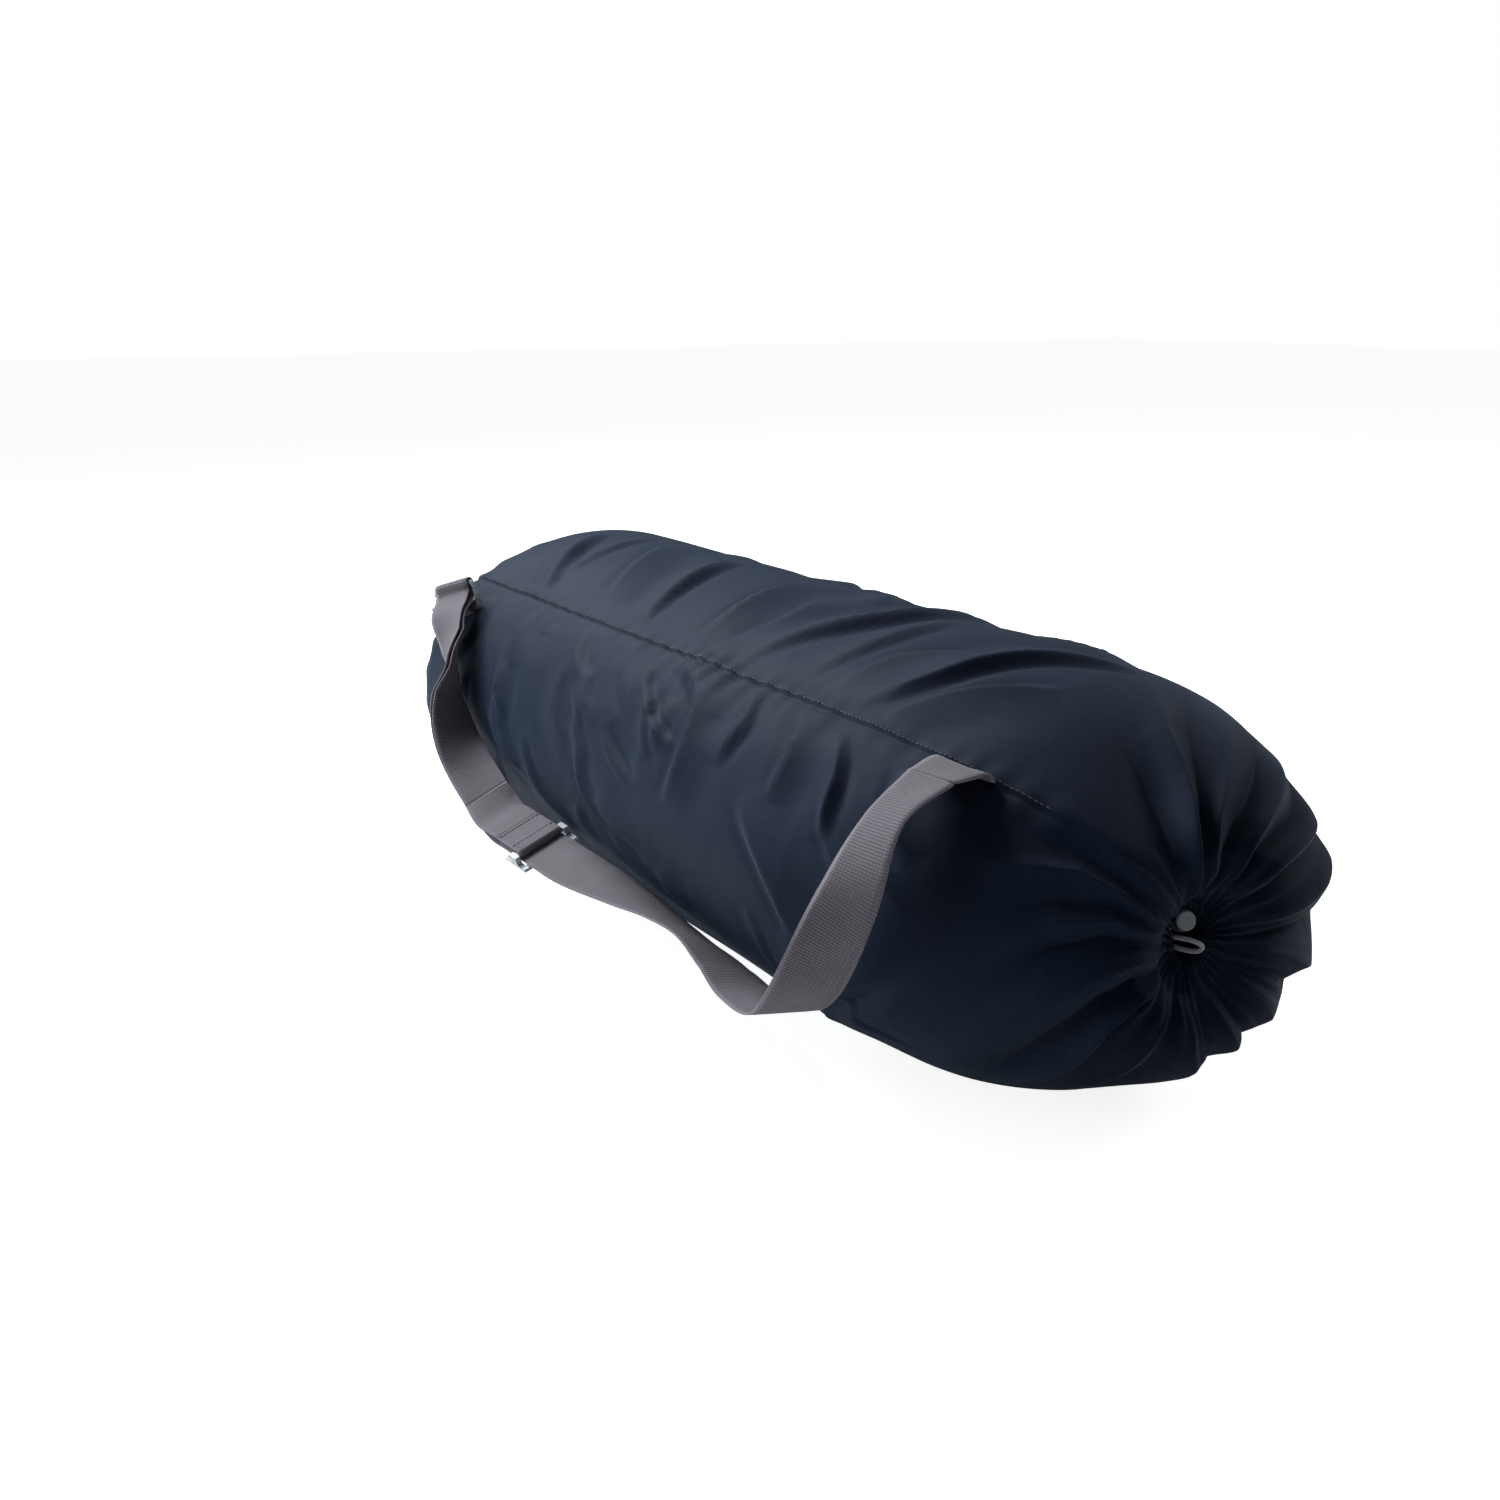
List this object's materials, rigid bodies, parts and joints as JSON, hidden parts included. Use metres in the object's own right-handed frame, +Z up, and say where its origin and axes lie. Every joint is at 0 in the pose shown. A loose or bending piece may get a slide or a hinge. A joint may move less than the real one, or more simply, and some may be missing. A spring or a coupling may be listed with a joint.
{
  "type": "drawstring rope storage bag",
  "caption": "Full cylindrical cloth storage bag lying on its side, mouth gathered by a drawcord and cord lock, with a webbing shoulder strap on a rectangular loop and slider.",
  "frame": {"origin": "on the ground under the middle of the bag", "axes": "+X along the bag towards its gathered mouth, +Z up, the strap hangs on the -Y side"},
  "size_m": [0.6317, 0.3027, 0.208],
  "materials": {
    "bag_cloth": "tightly woven coated nylon with a soft sheen",
    "binding_tape": "matt woven tape",
    "webbing": "ribbed polyester webbing",
    "cord": "braided cord",
    "thread": "sewing thread",
    "pale_plastic": "moulded, light grey",
    "dark_plastic": "moulded",
    "spring_steel": "drawn wire"
  },
  "bodies": {
    "bag": {"body_panel": "bag_cloth", "base_panel": "bag_cloth", "side_seam_binding": "binding_tape", "base_seam_binding": "binding_tape", "mouth_casing": "bag_cloth", "drawcord": "cord", "drawcord_tail_out": "cord", "drawcord_tail_back": "cord", "drawcord_coil": "cord", "anchor_root": "webbing", "tab_root": "webbing"},
    "strap": {"shoulder_webbing": "webbing", "loop_tab": "webbing"},
    "loop": {"strap_loop": "pale_plastic"},
    "slider": {"strap_slider": "pale_plastic", "strap_hem": "webbing", "hem_stitch_inner": "thread", "hem_stitch_outer": "thread"},
    "cord_lock": {"cord_lock_barrel": "dark_plastic", "cord_lock_spring": "spring_steel"},
    "button": {"cord_lock_button": "pale_plastic"}
  },
  "joints": [
    {"name": "strap_swing", "type": "hinge", "parent": "bag", "child": "strap", "pos_m": [0.219, -0.0875, 0.178], "axis": [-0.9994, -0.0009, -0.0345], "range_deg": [0, 50]},
    {"name": "loop_tilt", "type": "hinge", "parent": "strap", "child": "loop", "pos_m": [-0.281, -0.119, 0.182], "axis": [-0.8548, -0.4229, -0.3007], "range_deg": [-6, 2]},
    {"name": "slider_travel", "type": "slide", "parent": "strap", "child": "slider", "axis": [-0.9969, -0.065, 0.045], "range_m": [-0.009, 0.003]},
    {"name": "lock_slide", "type": "slide", "parent": "bag", "child": "cord_lock", "axis": [0.8827, -0.3611, 0.3009], "range_m": [0, 0.03], "deforming": ["drawcord", "drawcord_tail_out", "drawcord_tail_back"]},
    {"name": "button_press", "type": "slide", "parent": "cord_lock", "child": "button", "axis": [-0.8827, 0.3611, -0.3009], "range_m": [0, 0.0025], "stiffness_N_per_m": 1500, "springref_m": -0.002, "deforming": ["cord_lock_spring"]}
  ]
}
